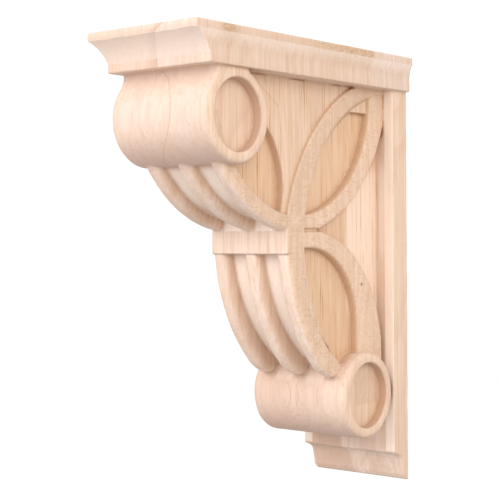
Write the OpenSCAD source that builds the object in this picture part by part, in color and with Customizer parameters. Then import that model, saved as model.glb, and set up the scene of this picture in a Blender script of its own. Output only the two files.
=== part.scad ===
// Wooden corbel bracket: a scrolled bar-bracket corbel in bare hardwood.
// Frame: +Z up, the front faces -Y, the flat back lies in the plane Y = 0.
// The origin is the middle of the back face, at half the height. Millimetres.

/* [Overall] */
// Height from the shelf face to the foot of the back plate
total_h = 330; // [322:1:342]
// Width of the back plate and of both scrolls
plate_w = 87; // [85:0.5:88]
// Thickness of the back plate
plate_t = 20; // [18:0.5:22]

/* [Cap] */
// Width of the cap over its top fascia
cap_w = 99; // [97:0.5:102]
// Depth of the cap from the wall to its nose
cap_d = 253; // [250:1:257]
// Width of the cap at its lower fascia
cap_base_w = 93.4; // [91:0.2:95]
// Depth of the cap at its lower fascia
cap_base_d = 237; // [235:1:240]
// Height of the cap
cap_h = 26.3; // [25.5:0.1:27]
// Height of the plain fascia along the top of the cap
fascia_h = 5.6; // [4:0.1:7]
// Height of the plain fascia along the foot of the cap
foot_fascia_h = 5.8; // [4:0.1:7]

/* [Scrolls] */
// Radius of both scrolls
scroll_r = 32.4; // [31:0.1:32.8]
// Radius of the round recess in each scroll end
eye_r = 24.6; // [22:0.1:26]
// Depth of the round recess in each scroll end
eye_depth = 8; // [5:0.1:8.1]
// Rounding of the scroll ends
scroll_round = 2.2; // [1:0.1:3]
// Distance of the upper scroll's axis from the wall
upper_scroll_y = 205.5; // [204.5:0.1:206.5]
// Distance of the lower scroll's axis from the wall
lower_scroll_y = 54.5; // [54:0.1:56]

/* [Reeds] */
// Width of each reed
reed_w = 12; // [11:0.1:12]
// Radius of the reed's rounded crown
reed_crown = 9.5; // [7:0.1:12]
// Spacing of the three reeds, centre to centre
reed_pitch = 29.35; // [28.6:0.05:29.35]
// Depth of the grooves between the upper reeds
upper_groove = 7.6; // [7:0.1:9]
// Depth of the grooves between the lower reeds, about the middle
lower_groove = 11; // [9:0.1:12]

/* [Side carving] */
// Half the width across the raised straps
strap_x = 35.4; // [35.4:0.1:36]
// Half the width across the raised field beside the upper scroll
field_x = 31.3; // [30:0.1:32.5]
// Half the width across the pocket floors
floor_x = 28; // [27.5:0.1:29]
// Half the width across the small step at the leaf's tip
step_x = 32; // [30.5:0.1:33]

/* [Hidden] */
$fn = 128;
top_z = total_h / 2;                 // shelf face
foot_z = -total_h / 2;               // lower end of the back plate
cap_z = top_z - cap_h;               // underside of the cap
block_y = -143.5;                    // front of the middle block
block_z0 = 14.3;                     // underside of the middle block
block_z1 = 47;                       // its upper end on the sides
body_z0 = -114;                      // lower end of the carved body at the plate
plate_step_z = -142.2;               // the plate's full thickness ends here
upper_scroll_z = 107.5;
lower_scroll_z = -93.3;
upper_belly = [-128.4, 133.8];       // centre of the upper belly arc (Y, Z)
upper_belly_r = 103.6;
lower_belly = [-3.2, 32.9];          // centre of the lower belly arc
lower_belly_r = 141.4;
tail_a = 38;                         // the lower arc tightens here, degrees below horizontal
tail_r = 79.5;                       // radius of the tighter arc down to the scroll
tail = [lower_belly[0] - (lower_belly_r - tail_r) * cos(tail_a),
        lower_belly[1] - (lower_belly_r - tail_r) * sin(tail_a)];
lower_floor = [-18.6, 29.4, 125.8];  // arc that the lower groove floors are sunk from
strap_out = [-5.3, 7.0, 142.3];      // big strap, outer edge: Y, Z, radius
strap_in_up = [-8.0, 21.8, 115.5];   // big strap, inner edge above the block
strap_in_low = [7.4, 28.8, 131.1];   // big strap, inner edge below the block
leaf_in = [-130.4, 133.4, 91.2];     // upper leaf strap, inner edge
leaf_out = [-140.7, 156.3, 129.5];   // upper leaf strap, outer edge
half_in = [-116.0, -40.5, 58.8];     // lower leaf strap, inner edge
half_out = [-117.5, -62.7, 94.5];    // lower leaf strap, outer edge
field_arc = [-202.3, 61.3, 57.5];    // curved edge of the raised field
root_z0 = 30.8;                      // narrow groove between the leaves' roots
root_z1 = 32;
neck_y0 = -226;                      // neck over the upper scroll: front and back
neck_y1 = -195;
big = 400;

// A Y-Z outline pushed out along X
module along_x(x0, x1)
    translate([x0, 0, 0]) rotate([90, 0, 90]) linear_extrude(x1 - x0) children();

// The same outline on both sides of the body, between two distances from the middle
module both_sides(x0, x1) { along_x(x0, x1) children(); along_x(-x1, -x0) children(); }

module disc(a) translate([a[0], a[1]]) circle(a[2]);
module pane(y0, y1, z0, z1) translate([y0, z0]) square([y1 - y0, z1 - z0]);

// ---- cap -------------------------------------------------------------
// Overhang profile: lower fascia, cove, nose, top fascia. o is the overhang,
// z the height above the cap's underside. cove_r is the radius of the cove.
module cap_profile(base, out, reach) {
    z0 = foot_fascia_h; z1 = cap_h - fascia_h;
    o = out - base;
    // a circle through both ends of the cove, bulging into the wood
    dz = z1 - z0; chord = sqrt(o * o + dz * dz);
    sag = chord * 0.075;
    r = chord * chord / (8 * sag) + sag / 2;
    mo = o / 2; mz = (z0 + z1) / 2;
    // unit normal from the chord's middle away from the wood
    no = dz / chord; nz = -o / chord;
    difference() {
        translate([-reach, 0]) square([reach + out, cap_h]);
        intersection() {
            translate([base + mo + no * (r - sag), mz + nz * (r - sag)]) circle(r);
            translate([base, -1]) square([o + 5, z1 + 1]);
        }
    }
}
module cap() color("BurlyWood") translate([0, 0, cap_z])
    intersection() {
        // front profile, running across the width
        rotate([90, 0, -90]) translate([0, 0, -big / 2])
            linear_extrude(big) cap_profile(cap_base_d, cap_d, 0);
        // side profiles, running from the wall to the nose
        translate([0, 0.0, 0]) rotate([90, 0, 0]) linear_extrude(big)
            intersection() {
                cap_profile(cap_base_w / 2, cap_w / 2, big);
                mirror([1, 0]) cap_profile(cap_base_w / 2, cap_w / 2, big);
            }
    }

// ---- back plate ------------------------------------------------------
module plate() color("BurlyWood") along_x(-plate_w / 2, plate_w / 2) difference() {
    pane(-plate_t, 0, foot_z, cap_z + 1);
    // the foot: a small cove under the step, then a slope with a round toe
    translate([-plate_t - 1, foot_z - 1]) polygon([
        [0, 0], [plate_t - 2.5, 0], [plate_t - 2.5, 1.6], [plate_t - 5.2, 4.4],
        [plate_t - 7.3, 11.5], [plate_t - 8.6, 17.2], [plate_t - 10.2, 19.6],
        [plate_t - 14, 21.6], [1, 23.6], [0, 23.8]]);
}

// ---- scrolls ---------------------------------------------------------
module scroll(y, z) color("Wheat") translate([0, y, z]) rotate([0, 90, 0]) {
    half = plate_w / 2;
    difference() {
        rotate_extrude() union() {
            translate([0, -half]) square([scroll_r - scroll_round, 2 * half]);
            translate([0, -half + scroll_round]) square([scroll_r, 2 * (half - scroll_round)]);
            for (s = [-1, 1]) translate([scroll_r - scroll_round, s * (half - scroll_round)]) circle(scroll_round);
        }
        for (s = [-1, 1]) translate([0, 0, s * half]) cylinder(r = eye_r, h = 2 * eye_depth, center = true);
    }
}

// ---- reeds -----------------------------------------------------------
// One reed swept round its belly axis, which runs along X through (c[0], c[1]).
// a0 and a1 are degrees below the horizontal, seen from the axis towards the front.
// slim makes it that much slimmer all over, so that it can start inside another.
module reed(x, c, r, deep, a0, a1, slim = 0)
    translate([x, c[0], c[1]]) rotate([0, 90, 0]) rotate([0, 0, a0 - 90])
        rotate_extrude(angle = a1 - a0) intersection() {
            translate([r - deep, slim - reed_w / 2]) square([deep + 2, reed_w - 2 * slim]);
            union() {
                translate([r - slim - reed_crown, 0]) circle(reed_crown);
                translate([r - deep - 1, -reed_w]) square([deep + 1 - reed_crown, 2 * reed_w]);
            }
        }
module reeds() for (k = [-1, 0, 1]) {
    reed(k * reed_pitch, upper_belly, upper_belly_r, upper_groove + 3, 16, 85);
    reed(k * reed_pitch, lower_belly, lower_belly_r, lower_groove + 4, 7.4, tail_a);
    // the tighter tail starts inside the reed above it
    reed(k * reed_pitch, tail, tail_r, lower_groove + 2.5, tail_a - 9, 80, 0.04);
}

// ---- body ------------------------------------------------------------
// Side outline of the carved body, down to its groove floors
module body_outline() {
    pane(-200, -plate_t + 1, 100, cap_z + 1);
    intersection() { disc([upper_belly[0], upper_belly[1], upper_belly_r - upper_groove]); pane(-215, -123, 20, 110); }
    pane(-128, -plate_t + 1, 14.9, 131);
    pane(block_y, -plate_t + 1, block_z0, block_z1 - 5);
    intersection() { disc([lower_floor[0], lower_floor[1], lower_floor[2] - lower_groove]); pane(-160, -60, -95, block_z0 + 1); }
    pane(-62, -plate_t + 1, body_z0, block_z0 + 1);
}
// Pocket inside the upper leaf
module leaf_pocket() intersection() { disc(strap_in_up); disc(leaf_in); }
// Pocket inside the lower leaf
module half_pocket() intersection() {
    disc(strap_in_low);
    union() { disc(half_in); pane(-125, half_in[0] + half_in[2] - 0.8, -100, half_in[1] + 5); }
}
// Sunk ground behind the two leaves, next to the back plate, with the narrow
// groove that runs forwards between the leaves' roots
module rear_ground() difference() {
    pane(-120.5, -10, -130, 120);
    intersection() { disc(leaf_out); pane(-130, 0, root_z1, 170); }
    intersection() { disc(half_out); pane(-130, 0, -160, root_z0); }
}
// Field beside the upper scroll
module front_field() difference() {
    intersection() {
        disc([upper_belly[0], upper_belly[1], upper_belly_r - upper_groove - 5]);
        pane(-230, -10, block_z1 - 3, 170);
    }
    disc(strap_out);
}
// Deeper ground between that field and the outer reed
module front_ground() intersection() {
    disc(field_arc);
    disc([upper_belly[0], upper_belly[1], upper_belly_r - upper_groove - 3.5]);
}
// The small step left at the tip of the upper leaf's pocket
module tip_step() intersection() {
    disc([strap_in_up[0], strap_in_up[1], strap_in_up[2] + 3]);
    disc([leaf_in[0], leaf_in[1], leaf_in[2] + 3]);
    pane(-90, -plate_t - 1, 119.5, cap_z + 0.5);
}
module body() color("BurlyWood") {
    difference() {
        union() { along_x(-strap_x, strap_x) body_outline(); reeds(); }
        both_sides(floor_x, strap_x + 2) leaf_pocket();
        both_sides(floor_x, strap_x + 2) half_pocket();
        both_sides(floor_x, strap_x + 2) rear_ground();
        both_sides(field_x, strap_x + 2) front_field();
        both_sides(floor_x, strap_x + 2) front_ground();
    }
    both_sides(floor_x - 1, step_x) tip_step();
}
// Short neck between the upper scroll and the cap
module neck() color("Wheat") along_x(-plate_w / 2, plate_w / 2)
    pane(neck_y0, neck_y1, 128, cap_z + 1);

module corbel() union() {
    cap();
    plate();
    body();
    neck();
    scroll(-upper_scroll_y, upper_scroll_z);
    scroll(-lower_scroll_y, lower_scroll_z);
}

corbel();
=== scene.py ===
# Wooden corbel bracket: the carved, sanded surface, its wood, the floor, the light and the camera.
import math
import bpy
import numpy as np
from mathutils import Matrix, Vector


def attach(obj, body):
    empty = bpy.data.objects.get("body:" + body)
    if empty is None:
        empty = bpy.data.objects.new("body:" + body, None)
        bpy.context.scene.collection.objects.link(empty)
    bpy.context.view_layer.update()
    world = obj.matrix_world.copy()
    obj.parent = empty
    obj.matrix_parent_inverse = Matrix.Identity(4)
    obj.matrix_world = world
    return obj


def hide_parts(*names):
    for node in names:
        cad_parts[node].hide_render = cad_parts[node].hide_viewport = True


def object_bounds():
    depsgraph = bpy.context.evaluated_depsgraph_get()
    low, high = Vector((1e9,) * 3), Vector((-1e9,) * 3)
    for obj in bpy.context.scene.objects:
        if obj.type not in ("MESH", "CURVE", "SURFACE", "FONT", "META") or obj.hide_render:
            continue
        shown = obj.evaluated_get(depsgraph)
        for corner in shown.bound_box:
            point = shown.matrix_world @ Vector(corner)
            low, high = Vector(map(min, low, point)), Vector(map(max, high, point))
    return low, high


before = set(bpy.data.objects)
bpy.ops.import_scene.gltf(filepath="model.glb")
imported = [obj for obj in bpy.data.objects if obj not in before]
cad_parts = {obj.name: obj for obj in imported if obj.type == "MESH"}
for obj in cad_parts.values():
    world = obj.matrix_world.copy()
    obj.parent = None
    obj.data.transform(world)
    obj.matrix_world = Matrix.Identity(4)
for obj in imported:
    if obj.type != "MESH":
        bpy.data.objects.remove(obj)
cad_lo, cad_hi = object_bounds()

# ----------------------------------------------------------------------------
# 1. The carved surface, as a distance field in millimetres
#    +X right, -Y front, +Z up, back face in the plane Y = 0, origin at half height
# ----------------------------------------------------------------------------


def smin(a, b, k):
    h = np.maximum(k - np.abs(a - b), 0.0) / k
    return np.minimum(a, b) - h * h * k * 0.25


def smax(a, b, k):
    return -smin(-a, -b, k)


def disc(y, z, c, grow=0.0):
    return np.hypot(y - c[0], z - c[1]) - c[2] - grow


def pane(y, z, y0, y1, z0, z1):
    dy = np.maximum(y0 - y, y - y1)
    dz = np.maximum(z0 - z, z - z1)
    return np.minimum(np.maximum(dy, dz), 0.0) + np.hypot(np.maximum(dy, 0.0), np.maximum(dz, 0.0))


def circle3(p, q, s):
    ax, ay = p; bx, by = q; cx, cy = s
    d = 2 * (ax * (by - cy) + bx * (cy - ay) + cx * (ay - by))
    ux = ((ax * ax + ay * ay) * (by - cy) + (bx * bx + by * by) * (cy - ay) + (cx * cx + cy * cy) * (ay - by)) / d
    uy = ((ax * ax + ay * ay) * (cx - bx) + (bx * bx + by * by) * (ax - cx) + (cx * cx + cy * cy) * (bx - ax)) / d
    return (ux, uy, math.hypot(ax - ux, ay - uy))


TOP, FOOT = 165.0, -165.0
CAP_H = 26.3
CAP_Z = TOP - CAP_H
BLOCK_Y, BLOCK_Z0, BLOCK_Z1 = -143.5, 14.3, 47.0
UP_SCROLL = (-205.5, 107.5, 32.35)
LOW_SCROLL = (-54.5, -93.3, 32.35)
U_BELLY = (-128.4, 133.8, 103.6)
L_BELLY = circle3((-142.7, 14.3), (-135.0, -20.0), (-104.1, -67.9))
L_FLOOR = (-18.6, 29.4, 125.8)
STRAP_OUT = (-5.3, 7.0, 142.3)
STRAP_IN_UP = (-8.0, 21.8, 115.5)
STRAP_IN_LOW = (7.4, 28.8, 131.1)
LEAF_IN = (-130.4, 133.4, 91.2)
LEAF_OUT = (-140.7, 156.3, 129.5)
HALF_IN = (-116.0, -40.5, 58.8)
HALF_OUT = (-117.5, -62.7, 94.5)
FIELD_ARC = (-202.3, 61.3, 57.5)
X_STRAP, X_LEAF, X_FIELD, X_FLOOR, X_STEP = 35.35, 34.7, 32.6, 28.0, 32.0
TAIL_A, TAIL_R = math.radians(45.5), 36.0
TAIL = (L_BELLY[0] - (L_BELLY[2] - TAIL_R) * math.cos(TAIL_A), L_BELLY[1] - (L_BELLY[2] - TAIL_R) * math.sin(TAIL_A), TAIL_R)


def outline(y, z):
    """Side outline of the body down to its groove floors."""
    d = pane(y, z, -200, -19, 100, CAP_Z + 3)
    d = np.minimum(d, np.maximum(disc(y, z, U_BELLY, -7.6), pane(y, z, -215, -120, 16, 112)))
    d = np.minimum(d, pane(y, z, -128, -19, 13, 131))
    d = np.minimum(d, np.maximum(disc(y, z, L_FLOOR, -10.5), pane(y, z, -160, -58, -97, 16)))
    d = np.minimum(d, pane(y, z, -62, -19, -114, 16))
    return d


def leaf_lens(y, z):
    return np.maximum(disc(y, z, STRAP_IN_UP), disc(y, z, LEAF_IN))


def half_lens(y, z):
    a = np.minimum(disc(y, z, HALF_IN), pane(y, z, -125, -57.2, -110, -40.5))
    return np.maximum(disc(y, z, STRAP_IN_LOW), a)


def big_strap(y, z):
    up = np.maximum(np.maximum(disc(y, z, STRAP_OUT), -disc(y, z, STRAP_IN_UP)), pane(y, z, BLOCK_Y, -19, 22, CAP_Z + 3))
    low = np.maximum(np.maximum(disc(y, z, L_FLOOR, -12.5), pane(y, z, -160, -58, -97, 24)), -disc(y, z, STRAP_IN_LOW))
    block = np.maximum(np.maximum(pane(y, z, BLOCK_Y, -117, BLOCK_Z0, BLOCK_Z1 - 4), -disc(y, z, STRAP_IN_LOW)), -disc(y, z, STRAP_IN_UP))
    return np.minimum(np.minimum(up, low), block)


def leaf_straps(y, z):
    a = np.maximum(np.maximum(disc(y, z, LEAF_OUT), -disc(y, z, LEAF_IN)), np.maximum(disc(y, z, STRAP_IN_UP, 1.0), 32.0 - z))
    b = np.maximum(np.maximum(disc(y, z, HALF_OUT), -half_lens(y, z)), np.maximum(z - 30.7, -100 - z))
    b = np.maximum(b, np.minimum(disc(y, z, STRAP_IN_LOW, 1.0), -60 - y))
    return np.maximum(np.minimum(a, b), pane(y, z, -125, -19, -112, CAP_Z + 3))


def front_field(y, z):
    d = pane(y, z, -205, -60, BLOCK_Z1 - 8, CAP_Z + 3)
    d = np.maximum(d, -disc(y, z, FIELD_ARC))
    return np.maximum(np.maximum(d, -disc(y, z, STRAP_IN_UP, 1.5)), outline(y, z) + 3.0)


def wobble(x, y, z):
    """Hand-sanded unevenness, a tenth of a millimetre or so."""
    return (0.07 * np.sin(y * 0.13 + 1.3 * np.sin(z * 0.061 + x * 0.05)) * np.sin(z * 0.11 + x * 0.09 + 2.1)
            + 0.05 * np.sin(x * 0.31 + y * 0.17 + 0.7) * np.sin(z * 0.23 - y * 0.11 + 0.4))


def reed(lat, d, half, crown, k):
    return smax(lat - half, d + lat * lat / (2.0 * crown), k)


def field(xs, y, z):
    """Signed distance to the corbel, in mm. xs may be negative; the work is the same on both sides."""
    x = np.abs(xs)
    # body, level by level
    o = outline(y, z)
    d = smax(o, x - np.where(disc(y, z, FIELD_ARC) < 0.6, X_FLOOR - 1.7, X_FLOOR), 1.2)
    d = smin(d, smax(front_field(y, z), x - X_FIELD, 1.3), 0.9)
    d = smin(d, smax(leaf_straps(y, z), x - X_LEAF, 2.6), 0.9)
    d = smin(d, smax(big_strap(y, z), x - X_STRAP, 2.2), 1.1)
    d = smin(d, smax(pane(y, z, -122.0, -106.0, 28.0, 34.0), x - X_LEAF + 1.5, 0.8), 0.6)
    # step and bevel at the tip of the upper leaf
    lens = leaf_lens(y, z)
    step = np.maximum(np.maximum(lens, 119.7 - z), z - CAP_Z - 2)
    d = smin(d, smax(step, x - X_STEP - 0.0, 0.9), 0.6)
    t = -disc(y, z, STRAP_IN_UP)
    w = np.clip((z - 58.0) / 62.0, 0.0, 1.0) * 6.0
    bev = np.maximum(np.maximum(t - w, -3.0 - t), np.maximum(np.maximum(lens - 1.0, 60 - z), z - CAP_Z - 2))
    d = smin(d, smax(bev, (x - X_STRAP + 0.2 + np.maximum(t, 0.0) * 0.95) * 0.72, 0.8), 0.8)
    # reeds
    lat = np.minimum(x, np.abs(x - 29.35))
    du = disc(y, z, U_BELLY)
    ru = reed(lat, du, 6.0, 13.0, 4.2)
    ru = np.maximum(np.maximum(ru, -10.7 - du), pane(y, z, -222, -127.5, 28, 110))
    d = smin(d, ru, 1.0)
    dl = disc(y, z, L_BELLY)
    dt = disc(y, z, TAIL)
    ang = np.arctan2(-(z - L_BELLY[1]), -(y - L_BELLY[0]))
    dl = np.where(ang > TAIL_A, dt, dl)
    rl = reed(lat, dl, 6.0, 13.0, 4.2)
    rl = np.maximum(np.maximum(rl, -15.0 - dl), np.maximum(z - BLOCK_Z0 - 0.5, y + 66.0))
    rl = np.maximum(rl, -disc(y, z, STRAP_IN_LOW))
    d = smin(d, rl, 1.0)
    # scrolls, with their round end recesses
    for c in (UP_SCROLL, LOW_SCROLL):
        e = disc(y, z, c)
        s = smax(e, x - 43.5, 4.6)
        if c is UP_SCROLL:
            neck = smax(pane(y, z, -226.0, -195.0, 118.0, CAP_Z + 3), x - 43.3, 2.4)
            s = smin(s, neck, 3.0)
        eye = smax(np.hypot(y - c[0], z - c[1]) - 24.6, X_STRAP - 0.2 - x, 0.8)
        s = smax(s, -eye, 1.7)
        d = smin(d, s, 0.6 if c is UP_SCROLL else 2.0)
    # back plate with its stepped foot
    p = np.maximum(-20.0 - y, y)
    p = np.maximum(p, z - CAP_Z - 3)
    fy = np.interp(z, [-165, -163.4, -160.6, -153.5, -147.8, -145.4, -143.4, -142.0, -141.0],
                   [-2.0, -4.6, -6.6, -8.3, -9.6, -11.4, -15.0, -19.2, -21.0])
    p = np.maximum(p, (fy - y) * 0.72)
    p = np.maximum(p, FOOT - z)
    p = smax(p, x - 43.5, 1.3)
    d = smin(d, p, 0.7)
    # cap
    h = z - CAP_Z

    def over(base, out):
        hh = np.clip(h, 5.8, 20.7)
        o_ = out - base
        dz = 20.7 - 5.8
        chord = math.hypot(o_, dz); sag = chord * 0.075
        r = chord * chord / (8 * sag) + sag / 2
        no, nz = dz / chord, -o_ / chord
        cx = base + o_ / 2 + no * (r - sag); cz = (20.7 + 5.8) / 2 + nz * (r - sag)
        return cx - np.sqrt(np.maximum(r * r - (hh - cz) ** 2, 0.0))
    # flat fascia over the cove, softly rounded
    cf = np.minimum(smax(-y - 253.0, 20.7 - h, 1.6), np.maximum((-y - over(237.0, 253.0)) * 0.70, h - 22.0))
    cs = np.minimum(smax(x - 49.5, 20.7 - h, 1.2), np.maximum((x - over(46.7, 49.5)) * 0.96, h - 22.0))
    cap = smax(cf, cs, 1.2)
    cap = smax(cap, z - TOP, 1.8)
    cap = smax(cap, CAP_Z - z, 0.9)
    cap = np.maximum(cap, y)
    d = smin(d, cap, 0.8)
    d = smax(d, y, 0.8)
    return d + wobble(xs, y, z)


def surface(step):
    """Surface nets over a regular grid; returns vertices in mm and quads."""
    xh = np.arange(0, int(51.5 / step) + 2) * step
    gy = np.arange(-255.0, 2.6, step)
    gz = np.arange(-166.7, 167.0, step)
    half = field(xh[:, None, None].astype(np.float32), gy[None, :, None].astype(np.float32), gz[None, None, :].astype(np.float32)).astype(np.float32)
    neg = field(-xh[1:][::-1][:, None, None].astype(np.float32), gy[None, :, None].astype(np.float32), gz[None, None, :].astype(np.float32)).astype(np.float32)
    phi = np.concatenate([neg, half], 0)
    gx = np.concatenate([-xh[1:][::-1], xh])
    ins = phi < 0
    nx, ny, nz = phi.shape
    acc = np.zeros((nx - 1, ny - 1, nz - 1, 3), np.float32)
    cnt = np.zeros((nx - 1, ny - 1, nz - 1), np.float32)
    G = (gx, gy, gz)
    faces = []
    cross = []
    for ax in range(3):
        a = [slice(None)] * 3; b = [slice(None)] * 3
        a[ax] = slice(0, -1); b[ax] = slice(1, None)
        pa, pb = phi[tuple(a)], phi[tuple(b)]
        idx = np.argwhere(ins[tuple(a)] != ins[tuple(b)])
        va, vb = pa[tuple(idx.T)], pb[tuple(idx.T)]
        t = va / (va - vb)
        p = np.stack([G[k][idx[:, k]] for k in range(3)], 1).astype(np.float32)
        p[:, ax] += t * step
        o1, o2 = [k for k in range(3) if k != ax]
        for s1 in (0, -1):
            for s2 in (0, -1):
                c = idx.copy(); c[:, o1] += s1; c[:, o2] += s2
                ok = (c >= 0).all(1) & (c[:, 0] < nx - 1) & (c[:, 1] < ny - 1) & (c[:, 2] < nz - 1)
                cc = tuple(c[ok].T)
                np.add.at(acc, cc, p[ok]); np.add.at(cnt, cc, 1)
        cross.append((ax, idx, va < 0))
    used = cnt > 0
    num = np.full(used.shape, -1, np.int64)
    num[used] = np.arange(used.sum())
    verts = acc[used] / cnt[used][:, None]
    for ax, idx, inside in cross:
        o1, o2 = [(1, 2), (2, 0), (0, 1)][ax]
        q = []
        for s1, s2 in ((0, 0), (-1, 0), (-1, -1), (0, -1)):
            c = idx.copy(); c[:, o1] += s1; c[:, o2] += s2
            q.append(num[tuple(c.T)])
        q = np.stack(q, 1)
        q[~inside] = q[~inside][:, ::-1]
        faces.append(q)
    return verts.astype(np.float64), np.concatenate(faces)


def gradient(v, e=0.15):
    g = np.empty_like(v)
    for k in range(3):
        a = v.copy(); b = v.copy(); a[:, k] += e; b[:, k] -= e
        g[:, k] = field(a[:, 0], a[:, 1], a[:, 2]) - field(b[:, 0], b[:, 1], b[:, 2])
    return g / (2 * e)


def project(v, rounds=2, limit=0.5):
    for _ in range(rounds):
        d = field(v[:, 0], v[:, 1], v[:, 2])
        g = gradient(v)
        n2 = np.maximum((g * g).sum(1), 0.25)
        mv = -g * (d / n2)[:, None]
        ln = np.linalg.norm(mv, axis=1)
        mv *= np.minimum(1.0, limit / np.maximum(ln, 1e-9))[:, None]
        v = v + mv
    return v


step = 1.05
verts, quads = surface(step)
mesh = bpy.data.meshes.new("corbel_carved")
mesh.vertices.add(len(verts)); mesh.vertices.foreach_set("co", (verts * 0.001).astype(np.float32).ravel())
tris = np.concatenate([quads[:, [0, 1, 2]], quads[:, [0, 2, 3]]])
mesh.loops.add(len(tris) * 3); mesh.loops.foreach_set("vertex_index", tris.astype(np.int32).ravel())
mesh.polygons.add(len(tris)); mesh.polygons.foreach_set("loop_start", np.arange(0, len(tris) * 3, 3, dtype=np.int32))
mesh.update(calc_edges=True)
mesh.validate()
corbel = bpy.data.objects.new("corbel_carved", mesh)
bpy.context.scene.collection.objects.link(corbel)
print("surface nets:", len(verts), "vertices,", len(tris), "triangles")

limit_tris = 190000
if len(tris) > limit_tris:
    dec = corbel.modifiers.new("decimate", "DECIMATE")
    dec.ratio = limit_tris / len(tris)
    dec.use_collapse_triangulate = True
    deps = bpy.context.evaluated_depsgraph_get()
    small = bpy.data.meshes.new_from_object(corbel.evaluated_get(deps))
    corbel.modifiers.clear()
    corbel.data = small
    bpy.data.meshes.remove(mesh)
    mesh = small
    mesh.name = "corbel_carved"

co = np.empty(len(mesh.vertices) * 3, np.float32); mesh.vertices.foreach_get("co", co)
v = co.reshape(-1, 3).astype(np.float64) * 1000
v = project(v)
lo = np.array(cad_lo) * 1000; hi = np.array(cad_hi) * 1000
v = np.clip(v, lo, hi)
mesh.vertices.foreach_set("co", (v * 0.001).astype(np.float32).ravel())
mesh.update()
n = gradient(v, 0.25)
n /= np.maximum(np.linalg.norm(n, axis=1), 1e-9)[:, None]
mesh.polygons.foreach_set("use_smooth", np.ones(len(mesh.polygons), dtype=bool))
mesh.normals_split_custom_set_from_vertices(n.astype(np.float32).tolist())
mesh.update()
print("corbel mesh:", len(mesh.vertices), "vertices,", len(mesh.polygons), "triangles")

# ----------------------------------------------------------------------------
# 2. Bare, sanded hardwood
# ----------------------------------------------------------------------------
# how shut-in each point is, read from the distance field along the normal; it sets the painted shade in corners and
# creases
def shut_in(v, n, reach):
    p = v + n * reach
    return np.clip(1.0 - field(p[:, 0], p[:, 1], p[:, 2]) / reach, 0.0, 1.5)


near = shut_in(v, n, 1.6)
mid = shut_in(v, n, 3.6)
far = shut_in(v, n, 9.0)
nook = np.clip(0.62 * near + 0.38 * mid ** 2 + 0.04 * far, 0.0, 1.0)
# the cut walls of the side carving and of the round recesses, painted darker than the faces as painted shade
axv, yv, zv = np.abs(v[:, 0]), v[:, 1], v[:, 2]
deep = np.where(zv > 15.6, outline(yv, zv), disc(yv, zv, L_FLOOR, -10.5))
wall = (deep < -2.0) & (yv < -23.0) & (axv < 34.6) & (axv > 26.0) & (np.abs(n[:, 0]) < 0.85) & (zv < CAP_Z - 0.5)
strap = (axv > 33.9) & (axv < 35.8) & (np.abs(n[:, 0]) > 0.8) & (yv < -21.0) & (zv < CAP_Z - 0.5)
for c in (UP_SCROLL, LOW_SCROLL):
    rr = np.hypot(yv - c[0], zv - c[1])
    wall &= rr > c[2] - 1.0
    strap &= rr > c[2] + 0.5
    wall |= (rr < 25.6) & (axv < 42.3) & (axv > 34.8) & (np.abs(n[:, 0]) < 0.85)
arr = np.ones((len(v), 4), np.float32)
arr[:, 0] = strap; arr[:, 1] = wall; arr[:, 2] = nook
att = mesh.color_attributes.new("nook", "FLOAT_COLOR", "POINT")
att.data.foreach_set("color", arr.ravel())

wood = bpy.data.materials.new("bare_wood")
wood.use_nodes = True
nt = wood.node_tree
bs = nt.nodes["Principled BSDF"]


def link(value, socket):
    if hasattr(value, "is_linked") or hasattr(value, "links"):
        nt.links.new(value, socket)
    else:
        socket.default_value = value


def M(op, a, b=0.0, c=None, clamp=False):
    n_ = nt.nodes.new("ShaderNodeMath"); n_.operation = op; n_.use_clamp = clamp
    link(a, n_.inputs[0]); link(b, n_.inputs[1])
    if c is not None:
        link(c, n_.inputs[2])
    return n_.outputs[0]


def ramp(v_, a, b, lo_=0.0, hi_=1.0):
    n_ = nt.nodes.new("ShaderNodeMapRange"); n_.interpolation_type = "SMOOTHSTEP"
    link(v_, n_.inputs[0]); n_.inputs[1].default_value = a; n_.inputs[2].default_value = b
    n_.inputs[3].default_value = lo_; n_.inputs[4].default_value = hi_
    return n_.outputs[0]


def mixc(f, a, b, mode="MIX"):
    n_ = nt.nodes.new("ShaderNodeMix"); n_.data_type = "RGBA"; n_.blend_type = mode
    link(f, n_.inputs[0]); link(a, n_.inputs[6]); link(b, n_.inputs[7])
    return n_.outputs[2]


def noise(sx, sy, sz, detail=2.0, rough=0.5, off=(0, 0, 0), dist=0.0, turn=0.0):
    m_ = nt.nodes.new("ShaderNodeMapping"); m_.vector_type = "POINT"
    nt.links.new(mm, m_.inputs[0]); m_.inputs[1].default_value = off; m_.inputs[2].default_value = (turn, 0.0, 0.0); m_.inputs[3].default_value = (sx, sy, sz)
    n_ = nt.nodes.new("ShaderNodeTexNoise"); nt.links.new(m_.outputs[0], n_.inputs["Vector"])
    n_.inputs["Scale"].default_value = 1.0; n_.inputs["Detail"].default_value = detail
    n_.inputs["Roughness"].default_value = rough; n_.inputs["Distortion"].default_value = dist
    return n_.outputs["Fac"]


def window(v_, lo_, hi_, soft):
    return M("MULTIPLY", ramp(v_, lo_ - soft, lo_ + soft), ramp(v_, hi_ - soft, hi_ + soft, 1.0, 0.0))


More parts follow.
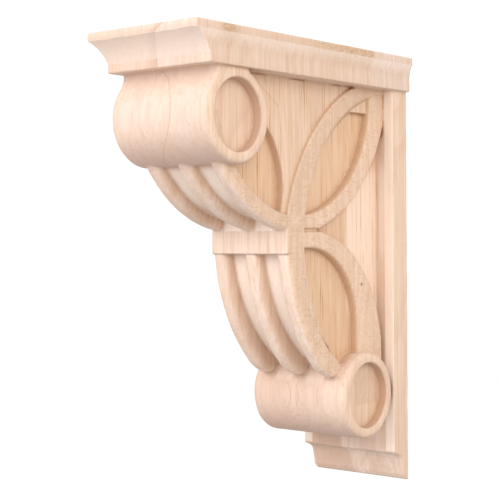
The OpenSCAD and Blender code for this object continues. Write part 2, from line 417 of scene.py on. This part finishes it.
tc = nt.nodes.new("ShaderNodeTexCoord")
vs = nt.nodes.new("ShaderNodeVectorMath"); vs.operation = "SCALE"
nt.links.new(tc.outputs["Object"], vs.inputs[0]); vs.inputs["Scale"].default_value = 1000.0
mm = vs.outputs[0]
sep = nt.nodes.new("ShaderNodeSeparateXYZ"); nt.links.new(mm, sep.inputs[0])
px, py, pz = sep.outputs[0], sep.outputs[1], sep.outputs[2]
sn = nt.nodes.new("ShaderNodeSeparateXYZ"); nt.links.new(tc.outputs["Normal"], sn.inputs[0])
ax = M("ABSOLUTE", px)
nxa = M("ABSOLUTE", sn.outputs[0])
sideways = ramp(nxa, 0.45, 0.9)
at = nt.nodes.new("ShaderNodeAttribute"); at.attribute_name = "nook"
sa = nt.nodes.new("ShaderNodeSeparateColor"); nt.links.new(at.outputs["Color"], sa.inputs[0])
a_strap, a_wall_shade, a_corner_shade = sa.outputs[0], sa.outputs[1], sa.outputs[2]

# the boards: a glued-up core and a thinner board on each side, the core itself of three strips
off_mid = M("ADD", pz, -110.0)
bend = M("MAXIMUM", M("MULTIPLY_ADD", M("MULTIPLY", off_mid, off_mid), -0.0229, 12.0), -14.0)
seam = M("SUBTRACT", px, bend)
core_r = ramp(seam, -0.5, 0.5)
core_l = ramp(px, -14.2, -13.8, 1.0, 0.0)
outer = ramp(ax, 35.3, 35.5)

# growth rings: level lines of a slow, tall-stretched noise, plus a shift from board to board
slow = noise(0.016, 0.016, 0.0042, 1.0, 0.4, (3.1, 7.7, 1.3))
cone = M("MULTIPLY_ADD", py, 0.055, M("MULTIPLY", px, 0.035))
cnt_ = M("MULTIPLY_ADD", slow, 11.0, M("ADD", cone, M("MULTIPLY", outer, 3.37)))
cnt_ = M("ADD", cnt_, M("MULTIPLY", core_r, 1.4))
fr = M("FRACT", cnt_)
late = M("MULTIPLY", ramp(fr, 0.35, 0.93), ramp(fr, 0.94, 1.0, 1.0, 0.0))
# fibre streaks and pores, all running with the height
streak = noise(0.34, 0.34, 0.0075, 5.0, 0.62, (0.0, 5.2, 0.0))
fine = noise(0.85, 0.85, 0.019, 3.0, 0.62, (11.0, 0.0, 4.0))
pores = ramp(fine, 0.545, 0.70)
bundle = ramp(noise(0.075, 0.075, 0.006, 2.0, 0.5, (2.0, 9.0, 0.0)), 0.40, 0.66)
blotch = noise(0.020, 0.020, 0.011, 3.0, 0.55, (8.0, 1.0, 6.0))
on_side = ramp(ax, 24.8, 26.0)
field_m = M("MULTIPLY", M("MULTIPLY", sideways, on_side), ramp(ax, 32.6, 33.6, 1.0, 0.0))
strap_m = M("MULTIPLY", sideways, a_strap)

# colours, linear
base = mixc(ramp(blotch, 0.30, 0.70), (0.735, 0.560, 0.455, 1), (0.765, 0.605, 0.510, 1))
base = mixc(M("MULTIPLY", sideways, M("MULTIPLY_ADD", ramp(ax, 24.8, 26.0), 0.45, 0.35)), base, (0.715, 0.500, 0.350, 1))
base = mixc(M("MULTIPLY", core_r, M("MULTIPLY_ADD", sideways, -0.35, 0.35)), base, (0.76, 0.600, 0.500, 1))
base = mixc(M("MULTIPLY", core_l, 0.25), base, (0.69, 0.50, 0.40, 1))
base = mixc(M("MULTIPLY", outer, 0.40), base, (0.745, 0.575, 0.455, 1))
# cap: a slanting figure on its front, a paler board at the wall end
in_cap = M("MULTIPLY", ramp(pz, 138.2, 139.2), ramp(py, -0.3, -1.0))
fig_x = M("SUBTRACT", px, M("MULTIPLY", M("POWER", M("MULTIPLY_ADD", pz, 0.05, -7.25, clamp=True), 1.6), 21.0))
cap_front = M("MULTIPLY", M("MULTIPLY", in_cap, ramp(py, -226.0, -230.0)), ramp(sn.outputs[1], -0.25, -0.5))
base = mixc(M("MULTIPLY", in_cap, 0.42), base, (0.600, 0.440, 0.355, 1))
base = mixc(M("MULTIPLY", M("MULTIPLY", cap_front, ramp(fig_x, -10.0, 0.0)), M("MULTIPLY", ramp(fig_x, -0.3, 0.3, 1.0, 0.0), 0.75)), base, (0.52, 0.355, 0.275, 1))
base = mixc(M("MULTIPLY", M("MULTIPLY", cap_front, ramp(fig_x, -0.2, 0.4)), 0.55), base, (0.70, 0.585, 0.520, 1))
base = mixc(M("MULTIPLY", M("MULTIPLY", cap_front, window(fig_x, -0.4, 0.5, 0.5)), 0.62), base, (0.47, 0.32, 0.23, 1))
base = mixc(M("MULTIPLY", M("MULTIPLY", cap_front, window(px, 22.0, 22.7, 0.4)), 0.22), base, (0.50, 0.34, 0.24, 1))
wall_end = M("MULTIPLY", in_cap, ramp(py, -54.9, -54.2))
base = mixc(M("MULTIPLY", wall_end, 0.75), base, (0.690, 0.555, 0.465, 1))
# foot: redder heartwood strip, then paler, then in between
in_foot = M("MULTIPLY", ramp(pz, -131.0, -133.0), ramp(py, -0.5, -1.5))
base = mixc(M("MULTIPLY", M("MULTIPLY", in_foot, window(M("ADD", px, M("MULTIPLY", pz, 0.12)), -60.0, -23.5, 1.0)), 0.50), base, (0.545, 0.335, 0.245, 1))
base = mixc(M("MULTIPLY", M("MULTIPLY", in_foot, window(px, 11.0, 26.5, 0.8)), 0.32), base, (0.58, 0.40, 0.31, 1))
base = mixc(M("MULTIPLY", late, M("MULTIPLY_ADD", sideways, 0.12, 0.15)), base, (0.56, 0.345, 0.225, 1))
base = mixc(M("MULTIPLY", ramp(streak, 0.36, 0.66), M("MULTIPLY_ADD", sideways, 0.20, 0.36)), base, (0.585, 0.385, 0.260, 1))
base = mixc(M("MULTIPLY", field_m, M("MULTIPLY_ADD", bundle, 0.20, 0.02)), base, (0.66, 0.405, 0.215, 1))
base = mixc(M("MULTIPLY", M("MULTIPLY", M("MULTIPLY", sideways, on_side), ramp(ax, 29.5, 31.0, 1.0, 0.0)), 0.36), base, (0.64, 0.375, 0.185, 1))
pore_w = M("MULTIPLY", pores, M("MULTIPLY_ADD", field_m, 0.62, M("MULTIPLY_ADD", bundle, 0.34, 0.18)))
base = mixc(pore_w, base, (0.44, 0.230, 0.100, 1))
# glue and growth lines
glue = M("MULTIPLY", window(seam, -0.6, 0.5, 0.4), M("MULTIPLY", M("MULTIPLY", ramp(py, -150.0, -140.0, 1.0, 0.0), ramp(pz, 139.5, 138.0)), 0.58))
base = mixc(glue, base, (0.45, 0.28, 0.17, 1))
side_glue = M("MULTIPLY", window(ax, 35.25, 35.6, 0.12), 0.22)
base = mixc(side_glue, base, (0.45, 0.27, 0.15, 1))
# milling marks left across the straps
scr = noise(0.31, 0.16, 0.72, 1.6, 0.55, (0.3, 0.2, 2.0), 0.9, 0.31)
speck = ramp(noise(0.62, 0.43, 0.55, 1.0, 0.5, (4.0, 0.6, 9.0), 0.4, -0.6), 0.66, 0.74)
dash = M("MULTIPLY", ramp(scr, 0.56, 0.68), strap_m)
base = mixc(M("MULTIPLY", M("MULTIPLY", speck, strap_m), 0.42), base, (0.42, 0.225, 0.105, 1))
base = mixc(M("MULTIPLY", dash, 0.34), base, (0.50, 0.290, 0.160, 1))
pale = M("MULTIPLY", ramp(scr, 0.40, 0.30), strap_m)
base = mixc(M("MULTIPLY", pale, 0.16), base, (0.84, 0.665, 0.530, 1))
# rough, browner patches along the cap's upper edge
spk = noise(0.5, 0.33, 0.9, 4.0, 0.7, (5.0, 0.0, 0.0))
patch = M("ADD", window(py, -229.0, -212.0, 3.0), M("MULTIPLY", ramp(py, -170.0, -80.0), ramp(py, -54.9, -54.2, 1.0, 0.0)))
edge_m = M("MULTIPLY", M("MULTIPLY", ramp(pz, 147.0, 163.5), patch), sideways)
base = mixc(M("MULTIPLY", edge_m, M("MULTIPLY_ADD", pores, 0.45, 0.42)), base, (0.50, 0.295, 0.140, 1))
base = mixc(M("MULTIPLY", M("MULTIPLY", ramp(spk, 0.46, 0.62), edge_m), 0.55), base, (0.36, 0.195, 0.085, 1))
# one pin knot and one hairline
knot = M("SQRT", M("ADD", M("POWER", M("ADD", py, 51.0), 2.0), M("POWER", M("MULTIPLY_ADD", pz, 0.8, 7.85), 2.0)))
base = mixc(M("MULTIPLY", M("MULTIPLY", ramp(knot, 0.7, 1.5, 1.0, 0.0), M("MULTIPLY", sideways, ramp(px, 0.0, 1.0))), 0.8), base, (0.20, 0.10, 0.045, 1))
hair = M("ABSOLUTE", M("ADD", pz, M("MULTIPLY_ADD", py, 0.66, -18.9)))
base = mixc(M("MULTIPLY", M("MULTIPLY", ramp(hair, 0.35, 0.95, 1.0, 0.0), M("MULTIPLY", window(py, -173.0, -149.0, 1.0), M("MULTIPLY", sideways, window(px, 30.0, 34.0, 0.5)))), 0.26), base, (0.38, 0.20, 0.09, 1))
# painted shade: the cut walls darkened to brown
base = mixc(M("MULTIPLY", a_wall_shade, 0.62), base, (0.50, 0.285, 0.130, 1))
# painted light: the cap cove and the reed grooves are painted paler, standing in for bounce light in these hollows;
# the plate's front edge is painted paler as well, partly its own cream tone and partly painted light
facing_down = ramp(sn.outputs[2], -0.12, -0.50)
base = mixc(M("MULTIPLY", M("MULTIPLY", in_cap, M("MULTIPLY", facing_down, ramp(pz, 140.0, 142.0))), 0.50), base, (0.92, 0.765, 0.660, 1))
groove = M("MULTIPLY", M("MULTIPLY", ramp(ax, 21.0, 23.5, 1.0, 0.0), ramp(ax, 5.5, 7.5)), M("MULTIPLY", window(py, -215.0, -76.0, 4.0), M("MULTIPLY", ramp(sn.outputs[1], -0.35, -0.60), window(pz, -82.0, 76.0, 3.0))))
base = mixc(M("MULTIPLY", M("MULTIPLY", groove, M("SUBTRACT", 1.0, window(pz, 14.0, 31.0, 0.5))), 0.60), base, (0.92, 0.790, 0.690, 1))
plate_f = M("MULTIPLY", M("MULTIPLY", window(py, -22.0, -16.0, 1.0), ramp(ax, 29.0, 31.0)), M("MULTIPLY", ramp(sn.outputs[1], -0.5, -0.8), window(pz, -140.5, 138.0, 1.0)))
base = mixc(M("MULTIPLY", M("MULTIPLY", plate_f, M("MULTIPLY_ADD", pores, -0.5, 1.0)), M("MULTIPLY_ADD", outer, 0.40, 0.25)), base, (0.93, 0.780, 0.660, 1))
# painted shade: the plate front's inner strip is darkened, much less so between heights 10 and 82 mm
plate_corner_shade = M("MULTIPLY", M("MULTIPLY", plate_f, M("SUBTRACT", 1.0, outer)), M("SUBTRACT", 1.0, M("MULTIPLY", window(pz, 10.0, 82.0, 9.0), 0.85)))
base = mixc(M("MULTIPLY", plate_corner_shade, 0.50), base, (0.60, 0.375, 0.235, 1))
# the rear field floor by the plate is painted a paler cream, with the pores showing through
rear = M("MULTIPLY", M("MULTIPLY", window(py, -62.0, -18.0, 5.0), window(pz, -30.0, 78.0, 8.0)), M("MULTIPLY", sideways, ramp(ax, 29.5, 31.0, 1.0, 0.0)))
base = mixc(M("MULTIPLY", M("MULTIPLY", rear, M("MULTIPLY_ADD", pores, -0.6, 1.0)), 0.62), base, (0.88, 0.700, 0.570, 1))
# the scrolls are a little pinker; the lower one is also darker, as painted shade, more so towards its left
on_up = M("MULTIPLY", M("MULTIPLY", window(py, -240.0, -172.0, 2.0), window(pz, 73.0, 138.0, 2.0)), M("SUBTRACT", 1.0, sideways))
base = mixc(M("MULTIPLY", on_up, 0.34), base, (0.640, 0.455, 0.390, 1))
on_low = M("MULTIPLY", M("MULTIPLY", window(py, -88.0, -22.0, 1.0), window(pz, -127.0, -62.0, 2.0)), M("SUBTRACT", 1.0, sideways))
base = mixc(M("MULTIPLY", on_low, M("MULTIPLY_ADD", ramp(px, 22.0, 30.0, 1.0, 0.0), 0.22, 0.22)), base, (0.560, 0.370, 0.290, 1))
base = mixc(M("MULTIPLY", M("MULTIPLY", on_low, window(px, -15.0, 3.0, 5.0)), M("MULTIPLY", pores, 0.55)), base, (0.42, 0.240, 0.150, 1))
base = mixc(M("MULTIPLY", M("MULTIPLY", on_up, window(px, -30.0, -12.0, 6.0)), M("MULTIPLY", pores, 0.40)), base, (0.46, 0.270, 0.180, 1))
# painted shade: the downward-facing undersides of both scrolls are darkened
underside_shade = M("MULTIPLY", M("ADD", on_up, on_low, clamp=True), ramp(sn.outputs[2], -0.25, -0.80))
base = mixc(M("MULTIPLY", underside_shade, 0.42), base, (0.520, 0.330, 0.250, 1))
# painted shade: corners and creases are darkened towards brown by how shut-in they are
painted_corner_shade = M("POWER", a_corner_shade, 1.7)
base = mixc(M("MULTIPLY", painted_corner_shade, 0.92, clamp=True), base, (0.36, 0.165, 0.062, 1))
nt.links.new(base, bs.inputs["Base Color"])
nt.links.new(M("MULTIPLY_ADD", streak, 0.16, M("MULTIPLY_ADD", dash, 0.1, 0.52)), bs.inputs["Roughness"])
bs.inputs["Specular IOR Level"].default_value = 0.28
ht = M("MULTIPLY_ADD", pores, -0.6, M("MULTIPLY_ADD", dash, -0.7, M("MULTIPLY", streak, 0.5)))
bp = nt.nodes.new("ShaderNodeBump"); bp.inputs["Strength"].default_value = 0.35; bp.inputs["Distance"].default_value = 0.0004
nt.links.new(ht, bp.inputs["Height"]); nt.links.new(bp.outputs[0], bs.inputs["Normal"])
mesh.materials.clear()
mesh.materials.append(wood)

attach(corbel, "root")
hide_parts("corbel")

# ----------------------------------------------------------------------------
# 3. Camera, floor, light
# ----------------------------------------------------------------------------
yaw, pitch, roll = math.radians(39.16), math.radians(-0.85), math.radians(-0.45)
eye = Vector((0.56725, -0.83846, 0.03074))
fwd = Vector((-math.sin(yaw) * math.cos(pitch), math.cos(yaw) * math.cos(pitch), math.sin(pitch)))
right = Vector((math.cos(yaw), math.sin(yaw), 0.0))
up = right.cross(fwd)
r2 = math.cos(roll) * right + math.sin(roll) * up
u2 = -math.sin(roll) * right + math.cos(roll) * up
cam = bpy.data.cameras.new("camera")
cam.sensor_width = 36.0
cam.lens = 90.06
cam.clip_start = 0.05
cam_ob = bpy.data.objects.new("camera", cam)
cam_ob.matrix_world = Matrix(((r2[0], u2[0], -fwd[0], eye[0]), (r2[1], u2[1], -fwd[1], eye[1]), (r2[2], u2[2], -fwd[2], eye[2]), (0, 0, 0, 1)))
bpy.context.scene.collection.objects.link(cam_ob)
bpy.context.scene.camera = cam_ob

fm = bpy.data.meshes.new("floor")
s = 14.0
fm.from_pydata([(-s, -s, -0.9), (s, -s, -0.9), (s, s, -0.9), (-s, s, -0.9)], [], [(0, 1, 2, 3)])
floor = bpy.data.objects.new("floor", fm)
bpy.context.scene.collection.objects.link(floor)
pale = bpy.data.materials.new("pale_floor"); pale.use_nodes = True
pb = pale.node_tree.nodes["Principled BSDF"]
pb.inputs["Base Color"].default_value = (0.98, 0.98, 0.98, 1); pb.inputs["Roughness"].default_value = 1.0
pb.inputs["Specular IOR Level"].default_value = 0.0
fl = pale.node_tree
# painted shade: the floor colour is 0.45 under and around the corbel and rises smoothly to 0.98 farther out, so less
# bounce light reaches the undersides
ftc = fl.nodes.new("ShaderNodeTexCoord")
fln = fl.nodes.new("ShaderNodeVectorMath"); fln.operation = "LENGTH"
fl.links.new(ftc.outputs["Object"], fln.inputs[0])
floor_shade_ramp = fl.nodes.new("ShaderNodeMapRange"); floor_shade_ramp.interpolation_type = "SMOOTHSTEP"
fl.links.new(fln.outputs["Value"], floor_shade_ramp.inputs[0])
floor_shade_ramp.inputs[1].default_value = 1.2; floor_shade_ramp.inputs[2].default_value = 2.9; floor_shade_ramp.inputs[3].default_value = 0.45; floor_shade_ramp.inputs[4].default_value = 0.98
fl.links.new(floor_shade_ramp.outputs[0], pb.inputs["Base Color"])
fm.materials.append(pale)

world = bpy.data.worlds.new("studio"); bpy.context.scene.world = world
world.use_nodes = True
world.node_tree.nodes["Background"].inputs[0].default_value = (1, 1, 1, 1)
world.node_tree.nodes["Background"].inputs[1].default_value = 1.04


def area(name, loc, target, size, energy, color=(1, 1, 1)):
    l = bpy.data.lights.new(name, "AREA"); l.shape = "SQUARE"; l.size = size; l.energy = energy; l.color = color
    o = bpy.data.objects.new(name, l)
    o.location = loc
    o.rotation_euler = (Vector(target) - Vector(loc)).to_track_quat("-Z", "Y").to_euler()
    bpy.context.scene.collection.objects.link(o)
    return o


area("key", (-0.30, -2.1, 0.95), (0, -0.1, 0.0), 1.3, 23)
area("side", (1.7, -1.1, 0.7), (0, -0.1, 0.0), 1.3, 18)
bpy.context.scene.view_settings.view_transform = "Standard"
